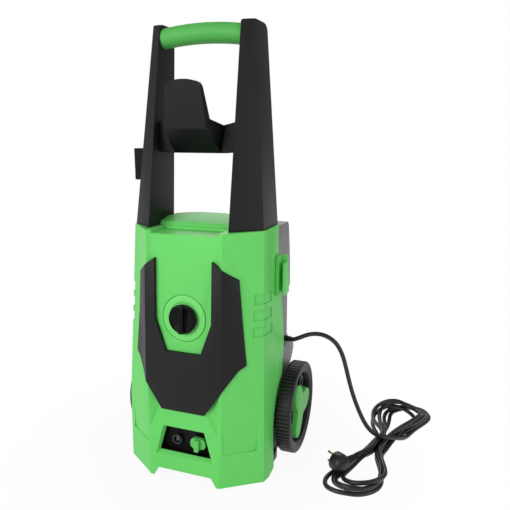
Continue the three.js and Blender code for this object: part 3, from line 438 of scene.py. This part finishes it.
def bright_metal(name, colour, gloss, brushed=0.0):
    """Turned or plated metal with faint tool marks and a few duller patches."""
    metal = Finish(bpy.data.materials.new(name))
    where = metal.add("TexCoord", out="Object")
    cloud = metal.add("TexNoise", {}, {"Vector": where, "Scale": 60.0, "Detail": 4.0}, out="Fac")
    marks = metal.add("TexNoise", {}, {"Vector": where, "Scale": 1400.0, "Detail": 1.0}, out="Fac")
    tone = metal.mix(cloud, shade(colour, 0.82), shade(colour, 1.12))
    relief = metal.add("Bump", {}, {"Strength": 0.08 + brushed, "Distance": 0.0001,
                                    "Height": marks}, out="Normal")
    return metal.end(metal.add("BsdfPrincipled", {}, {
        "Base Color": tone, "Metallic": 1.0, "Roughness": gloss + 0.16 * cloud, "Normal": relief}))


pin_brass = bright_metal("plug_pin_brass", (0.62, 0.50, 0.30), 0.16)
half_spacing = 0.0095
for number, sign in ((1, 1), (2, -1)):
    pin = turned([(0, 0.0072), (0.0024, 0.0072), (0.0024, 0.0305), (0.0019, 0.0317),
                  (0.0011, 0.0320), (0, 0.0320)], (0, sign * half_spacing, 0), (0, 0, 1), 20)
    bmesh.ops.transform(pin, matrix=plug_place, verts=pin.verts)
    fit(pin, f"plug_pin_brass_{number}", pin_brass, "washer",
                    [f"plug_pin_{number}"])

length = sum((b - a).length for a, b in zip(route, route[1:]))

# ---------------------------------------------------------------- cable gland
# Black rubber sleeve pushed through the side of the rear shell. A collar seats it, and
# its tapered, slotted nose keeps the lead from bending sharply.
seat = [(0, -0.018), (0.0053, -0.018), (0.0053, 0.0003), (0.0070, 0.0003), (0.0072, 0.0010),
        (0.0072, 0.0042), (0.0068, 0.0050)]
nose = ribs(4, 0.0056, 0.0034, 0.0067, 0.00035, 0.0010, (0.0019, 0.0022, 0.0031))
tip = [(0.0054, 0.0192), (0.0050, 0.0196), (0, 0.0196)]
gland = turned(seat + nose + tip, (0.130, 0.060, 0.2365), (1, 0, 0), 28)
gland_rubber = black_rubber("gland_rubber", (0.011, 0.011, 0.0115), 0.42, 0.08)
fit(gland, "lead_gland", gland_rubber, "washer", ["cord_gland"])

# ---------------------------------------------------------------- front shell
# The green front: one injection moulding in ABS, three flat facets leaning back, with the
# hose bay window, the dial hole and shallow vents at both sides. Its edges are softly rounded.


def moulded(name, colour, gloss, grain=0.2, spread=0.08, specular=0.4):
    """Moulded plastic: slow colour drift, spark-eroded grain, and faint handling marks."""
    plastic = Finish(bpy.data.materials.new(name))
    where = plastic.add("TexCoord", out="Object")
    drift = plastic.add("TexNoise", {}, {"Vector": where, "Scale": 7.0, "Detail": 3.0}, out="Fac")
    pits = plastic.add("TexNoise", {}, {"Vector": where, "Scale": 1100.0, "Detail": 1.0}, out="Fac")
    drawn = plastic.add("Mapping", {}, {"Vector": where, "Scale": (130.0, 130.0, 14.0)})
    streaks = plastic.add("TexNoise", {}, {"Vector": drawn, "Scale": 1.0, "Detail": 3.0}, out="Fac")
    rubbed = plastic.add("ValToRGB", {"stops": [(0.62, 0), (0.80, 1)]}, {"Fac": streaks})
    tone = plastic.mix(drift, shade(colour, 1 - spread), shade(colour, 1 + spread))
    tone = plastic.mix(rubbed * 0.10, tone, shade(colour, 1.25))
    round_off = plastic.add("Bevel", {"samples": 4}, {"Radius": 0.0012})
    relief = plastic.add("Bump", {}, {"Strength": grain, "Distance": 0.00025, "Height": pits,
                                      "Normal": round_off})
    return plastic.end(plastic.add("BsdfPrincipled", {}, {
        "Base Color": tone, "Roughness": gloss + 0.08 * drift - 0.06 * rubbed,
        "Specular IOR Level": specular, "Normal": relief}))


def soften(mesh, edges, width, segments):
    """Rounds edges of a mesh with a few narrow faces each."""
    bmesh.ops.bevel(mesh, geom=edges, offset=width, offset_type="OFFSET", affect="EDGES",
                    segments=segments, profile=0.5, material=-1, clamp_overlap=True)


def rounded_copy(node, width, segments=3, wide=None):
    """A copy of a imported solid, cleaned to flat faces, with its edges rounded. Wide is a rounding
    and a test of an edge's two ends, for edges that are rounded more widely, before the rest."""
    sharp = math.radians(26)
    mesh = bmesh.new()
    mesh.from_mesh(nodes[node].data)
    bmesh.ops.remove_doubles(mesh, verts=mesh.verts, dist=0.00001)
    bmesh.ops.dissolve_limit(mesh, angle_limit=math.radians(0.6), verts=mesh.verts,
                             edges=mesh.edges)

    def sharp_edges(shortest):
        return [edge for edge in mesh.edges if len(edge.link_faces) == 2 and edge.is_convex
                and edge.calc_face_angle() > sharp and edge.calc_length() > shortest]

    if wide:
        rounding, chosen = wide
        edges = [edge for edge in sharp_edges(0.004) if chosen(*(vert.co for vert in edge.verts))]
        soften(mesh, edges, rounding, 4)
    soften(mesh, sharp_edges(2.2 * width), width, segments)
    return mesh


def corner_of_facet(one, other):
    """The long edge where the sloped side of the sunk panel meets a side facet."""
    long_and_high = min(one.z, other.z) > 0.135 and abs(one.z - other.z) > 0.15
    return long_and_high and 0.074 < abs(one.x) < 0.079


green = moulded("shell_green", (0.155, 0.69, 0.150), 0.38, grain=0.10, specular=0.15)
front = rounded_copy("front_shell", 0.0014, wide=(0.004, corner_of_facet))
fit(front, "shell_front", green, "washer", ["front_shell"])

# ---------------------------------------------------------------- black trim panel
# Separate black moulding clipped over the front: it fills the sunk panel round the dial and
# laps both side facets. The edge of its notch under the dial is rounded more than the others.
front_foot = -0.143            # the front's place at the floor
front_slope = 0.027 / 0.483    # how far it leans back for its height


def notch_edge(one, other):
    """The front edge of the notch under the dial."""
    middle = (one + other) / 2
    before_the_shell = middle.y < front_foot + front_slope * middle.z - 0.004
    return before_the_shell and abs(middle.z - 0.259) < 0.004 and abs(middle.x) < 0.03


trim_black = moulded("trim_black", (0.0100, 0.0100, 0.0113), 0.40, grain=0.30, spread=0.2,
                     specular=0.22)
trim = rounded_copy("trim_panel", 0.0012, wide=(0.0045, notch_edge))
fit(trim, "front_trim", trim_black, "washer", ["trim_panel"])

# ---------------------------------------------------------------- dial and its switch
# Round green plate set in the front with a fine shadow gap, and a black knob with a grip bar
# on the shaft of the rotary switch behind it.
dial_high = 0.323
dial_place = (Matrix.Translation((0, front_foot + dial_high * front_slope, dial_high))
              @ Matrix.Rotation(math.pi / 2 - math.atan(front_slope), 4, "X"))
plate = turned([(0.0062, -0.003), (0.0443, -0.003), (0.0443, -0.002), (0.0429, -0.002),
                (0.0429, 0.0002), (0.0426, 0.0007), (0.0419, 0.0010), (0.0304, 0.0010),
                (0.0298, 0.0006), (0.0295, -0.0004), (0.0062, -0.0004), (0.0062, -0.003)],
               (0, 0, 0), (0, 0, 1), 96)
bmesh.ops.transform(plate, matrix=dial_place, verts=plate.verts)
dial_green = moulded("dial_green", (0.185, 0.75, 0.17), 0.38, grain=0.08, specular=0.25)
fit(plate, "dial_face", dial_green, "washer", ["dial_plate"])

knob = turned([(0, 0.0014), (0.0262, 0.0014), (0.0268, 0.0020), (0.0274, 0.0072),
               (0.0272, 0.0090), (0.0262, 0.0102), (0.0244, 0.0106), (0.0236, 0.0100),
               (0.0228, 0.0096), (0, 0.0096)], (0, 0, 0), (0, 0, 1), 72)
bar_size = (0.0125, 0.0525, 0.0150)    # of the grip bar: wide, long and deep
bar = bmesh.new()
bmesh.ops.create_cube(bar, size=1)
bmesh.ops.scale(bar, vec=bar_size, verts=bar.verts)
bmesh.ops.translate(bar, vec=(0, -0.0003, 0.0092), verts=bar.verts)
outer_end = [vert for vert in bar.verts if vert.co.z > 0.01]
bmesh.ops.scale(bar, vec=(0.80, 0.985, 1), verts=outer_end)
soften(bar, list(bar.edges), 0.0016, 4)
join(knob, bar)
join(knob, turned([(0, -0.012), (0.0040, -0.012), (0.0040, 0.003), (0, 0.003)],
                  (0, 0, 0), (0, 0, 1), 20))
bmesh.ops.transform(knob, matrix=dial_place, verts=knob.verts)
knob_black = moulded("knob_black", (0.0016, 0.0016, 0.0020), 0.24, grain=0.05, spread=0.15,
                     specular=0.14)
fit(knob, "dial_knob", knob_black, "power_knob", ["power_knob"])


def dress(material, *names):
    """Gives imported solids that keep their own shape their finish."""
    for name in names:
        nodes[name].material_slots[0].material = material


dress(moulded("switch_black", (0.02, 0.02, 0.021), 0.5, grain=0.3), "switch_box")

# ---------------------------------------------------------------- hose bay
# Black tray behind the sloped opening low in the front. It carries the outlet, a black collar
# with a bright nipple in its bore, and the inlet with its green turning tap.
bay_black = moulded("bay_black", (0.0045, 0.0042, 0.0052), 0.5, grain=0.25, spread=0.2,
                    specular=0.15)
dress(bay_black, "bay_tray", "inlet_port")
outlet_centre = (-0.022, -0.1158, 0.075)
collar = turned([(0.0060, 0.0000), (0.0060, 0.0108), (0.0066, 0.0119), (0.0074, 0.0120),
                 (0.0096, 0.0120), (0.0106, 0.0114), (0.0110, 0.0104), (0.0110, 0.0000),
                 (0.0070, 0.0000), (0.0070, -0.0117), (0.0060, -0.0120), (0.0060, 0.0000)],
                outlet_centre, (0, -1, 0), 48)
collar_black = moulded("collar_black", (0.012, 0.012, 0.013), 0.32, grain=0.1)
fit(collar, "outlet_collar", collar_black, "washer", ["outlet_port"])
nipple = turned([(0.0022, -0.004), (0.0022, 0.0078), (0.0028, 0.0082), (0.0036, 0.0078),
                 (0.0040, 0.0064), (0.0040, 0.0030), (0.0058, 0.0024), (0.0058, -0.004),
                 (0.0022, -0.004)], outlet_centre, (0, -1, 0), 32)
nipple_steel = bright_metal("nipple_steel", (0.30, 0.29, 0.29), 0.3)
fit(nipple, "outlet_nipple", nipple_steel, "washer")

tap_green = moulded("tap_green", (0.115, 0.56, 0.11), 0.36, grain=0.1)
tap = rounded_copy("inlet_tap", 0.0011)
fit(tap, "tap_handle", tap_green, "inlet_tap", ["inlet_tap"])

# ---------------------------------------------------------------- rear shell
# The gray back: one moulding over the motor, deeper round the pump at its foot, with
# cooling slots, screw recesses and a round boss high on the right. Four screws hold it.
gray = moulded("shell_gray", (0.215, 0.215, 0.222), 0.45, grain=0.25)
rear = rounded_copy("rear_shell", 0.0012, segments=2)
fit(rear, "shell_rear", gray, "washer", ["rear_shell"])
screw_steel = bright_metal("screw_zinc", (0.60, 0.61, 0.63), 0.24)
dress(screw_steel, "rear_screw_1", "rear_screw_2", "rear_screw_3", "rear_screw_4")

# ---------------------------------------------------------------- chassis, feet and axle
# Black tray that closes the foot and carries the pump, two rubber feet pressed into it under
# the front, and the plated steel axle through its brackets.
chassis_black = moulded("chassis_black", (0.016, 0.016, 0.017), 0.5, grain=0.35, spread=0.15,
                        specular=0.3)
tray = rounded_copy("chassis_tray", 0.0012, segments=2)
fit(tray, "chassis", chassis_black, "washer", ["chassis_tray"])
foot_rubber = black_rubber("foot_rubber", (0.014, 0.014, 0.0145), 0.55, 0.35)
dress(foot_rubber, "foot_pad_left", "foot_pad_right")
dress(bright_metal("axle_zinc", (0.55, 0.56, 0.58), 0.25), "axle")

# ---------------------------------------------------------------- wheels
# Solid rubber tyres with a cross-grooved tread on black rims with three bosses, and a
# green cap with three rounded arms pressed into each. They turn on the axle's ends.
wheel_inside, axle_back, axle_high = 0.150, 0.049, 0.094
tyre_radius = 0.094
blocks = 74                # of the tread, each two steps wide, with a groove of one step
steps = 3 * blocks
groove_floor = 0.09175     # radius at the bottom of a groove
groove_side = 0.0915       # radius at which the grooves end on the inner side
groove_across = 0.0275     # how far they run towards the outer side
# the tyre rubber is set darker than plain black rubber: partly its own black, partly painted shade
# for the dark between body and wheel
tyre_rubber = black_rubber("tyre_rubber", (0.0090, 0.0090, 0.0094), 0.45, 0.16)
rim_black = moulded("rim_black", (0.009, 0.009, 0.0097), 0.42, grain=0.3, spread=0.15,
                    specular=0.2)
cap_green = moulded("cap_green", (0.115, 0.60, 0.110), 0.38, grain=0.12, specular=0.10)
for side, sign in (("left", -1), ("right", 1)):
    hub = Vector((sign * wheel_inside, axle_back, axle_high))
    outwards = Vector((sign, 0, 0))
    tyre = turned([(0.0730, 0.0030), (0.0775, 0.0014), (0.0850, 0.0002), (0.0895, 0.0001),
                   (0.0920, 0.0007), (0.0935, 0.0020), (tyre_radius, 0.0038),
                   (tyre_radius, 0.0110), (tyre_radius, 0.0190), (tyre_radius, 0.0260),
                   (0.0935, 0.0279), (0.0920, 0.0292), (0.0890, 0.0299), (0.0850, 0.0298),
                   (0.0838, 0.0292), (0.0826, 0.0292), (0.0814, 0.0297), (0.0775, 0.0286),
                   (0.0750, 0.0272), (0.0730, 0.0270), (0.0730, 0.0030)], hub, outwards, steps)
    grooves = []
    for face in tyre.faces:
        spot = face.calc_center_median() - hub
        out = spot.dot(outwards)
        radius = (spot - outwards * out).length
        step = int((math.atan2(spot.z, spot.y) / math.tau + 1) * steps)
        if step % 3 == 0 and radius > groove_side and out < groove_across:
            grooves.append(face)
    deep = bmesh.ops.extrude_face_region(tyre, geom=grooves)["geom"]
    deep = [item for item in deep if isinstance(item, bmesh.types.BMVert)]
    bmesh.ops.delete(tyre, geom=grooves, context="FACES_ONLY")
    shrink = groove_floor / tyre_radius
    bmesh.ops.scale(tyre, vec=(1, shrink, shrink), space=Matrix.Translation(-hub), verts=deep)
    body = f"wheel_{side}"
    fit(tyre, f"wheel_tyre_{side}", tyre_rubber, body, [f"tyre_{side}"], crease=28)
    rim = rounded_copy(f"wheel_rim_{side}", 0.0009, segments=2)
    fit(rim, f"wheel_hub_{side}", rim_black, body, [f"wheel_rim_{side}"])
    cap = rounded_copy(f"hubcap_{side}", 0.0022)
    fit(cap, f"wheel_cap_{side}", cap_green, body, [f"hubcap_{side}"])

# ---------------------------------------------------------------- handle
# Two hollow black uprights plugged into the body, each closed at the back by a screwed cover,
# with a green arched grip held between their tops.
upright_black = moulded("upright_black", (0.0165, 0.0165, 0.0168), 0.44, grain=0.35, spread=0.15,
                        specular=0.18)
for side in ("left", "right"):
    upright = rounded_copy(f"upright_{side}", 0.0022)
    fit(upright, f"handle_{side}", upright_black, "washer", [f"upright_{side}"])
    cover = rounded_copy(f"upright_cover_{side}", 0.0008, segments=2)
    fit(cover, f"handle_cover_{side}", upright_black, "washer",
        [f"upright_cover_{side}"])
    dress(screw_steel, f"handle_screw_{side}_1", f"handle_screw_{side}_2")

grip_radius, grip_back, grip_high = 0.0184, -0.019, 0.8256
grip_end = 0.0797     # half its length
grip_rise = 0.006     # of its arch in the middle
grip_steps = 24
grip = bmesh.new()
ring = bmesh.ops.create_circle(grip, cap_ends=False, segments=40, radius=grip_radius)["verts"]
bmesh.ops.rotate(grip, verts=ring, matrix=Matrix.Rotation(math.pi / 2, 3, "Y"))
bmesh.ops.translate(grip, verts=ring, vec=(-grip_end, grip_back, grip_high))
edges = list(grip.edges)
for step in range(grip_steps):
    before, after = 2 * step / grip_steps - 1, 2 * (step + 1) / grip_steps - 1
    grown = bmesh.ops.extrude_edge_only(grip, edges=edges)["geom"]
    ring = [item for item in grown if isinstance(item, bmesh.types.BMVert)]
    edges = [item for item in grown if isinstance(item, bmesh.types.BMEdge)]
    stride = (2 * grip_end / grip_steps, 0, grip_rise * (before ** 2 - after ** 2))
    bmesh.ops.translate(grip, verts=ring, vec=stride)
bmesh.ops.holes_fill(grip, edges=[edge for edge in grip.edges if edge.is_boundary])
bmesh.ops.recalc_face_normals(grip, faces=grip.faces)
grip_green = moulded("grip_green", (0.095, 0.46, 0.09), 0.42, grain=0.3, specular=0.2)
fit(grip, "grip", grip_green, "washer", ["handle_grip"])

# ---------------------------------------------------------------- hose hook
# One black moulding between the uprights: a cross beam, a saddle that runs forward from it,
# and an upright wedge-shaped front, behind which the coiled hose hangs.
hook_black = moulded("hook_black", (0.0055, 0.0055, 0.0060), 0.42, grain=0.3, spread=0.15,
                     specular=0.16)
hook = rounded_copy("hose_hook", 0.0022)
fit(hook, "hook", hook_black, "washer", ["hose_hook"])

# ---------------------------------------------------------------- nozzle and lance holders
# A black strip of three nozzle sockets on the left upright, and on the body's right side a
# green clip, open in front, that the lance's stem is pressed into.
rack_black = moulded("rack_black", (0.0060, 0.0060, 0.0064), 0.46, grain=0.3, spread=0.15,
                     specular=0.12)
dress(rack_black, "nozzle_rack")
clip = rounded_copy("lance_holder", 0.0012)
fit(clip, "lance_clip", green, "washer", ["lance_holder"])

# ---------------------------------------------------------------- motor and pump
# Inside the shells: a cast pump head and crank case under an induction motor with its fan, on
# a plastic cradle, with the stop switch, the capacitor and the two pipes.
cast = bright_metal("cast_aluminium", (0.52, 0.53, 0.54), 0.42, brushed=0.25)
dress(cast, "pump_head", "crank_case", "motor_cover")
bearing_steel = bright_metal("bearing_steel", (0.62, 0.63, 0.65), 0.18)
dress(bearing_steel, "piston_1", "piston_2", "piston_3", "wobble_plate", "bearing_lower",
      "bearing_upper", "rotor")
dress(bright_metal("winding_copper", (0.42, 0.19, 0.08), 0.35, brushed=0.4), "stator")
dress(bright_metal("pipe_brass", (0.58, 0.42, 0.17), 0.28), "outlet_pipe")
inner_black = moulded("inner_black", (0.02, 0.02, 0.021), 0.48, grain=0.3)
dress(inner_black, "fan", "motor_cradle", "pressure_switch", "inlet_pipe")
dress(moulded("can_gray", (0.20, 0.20, 0.21), 0.4, grain=0.2), "capacitor", "motor_casing")
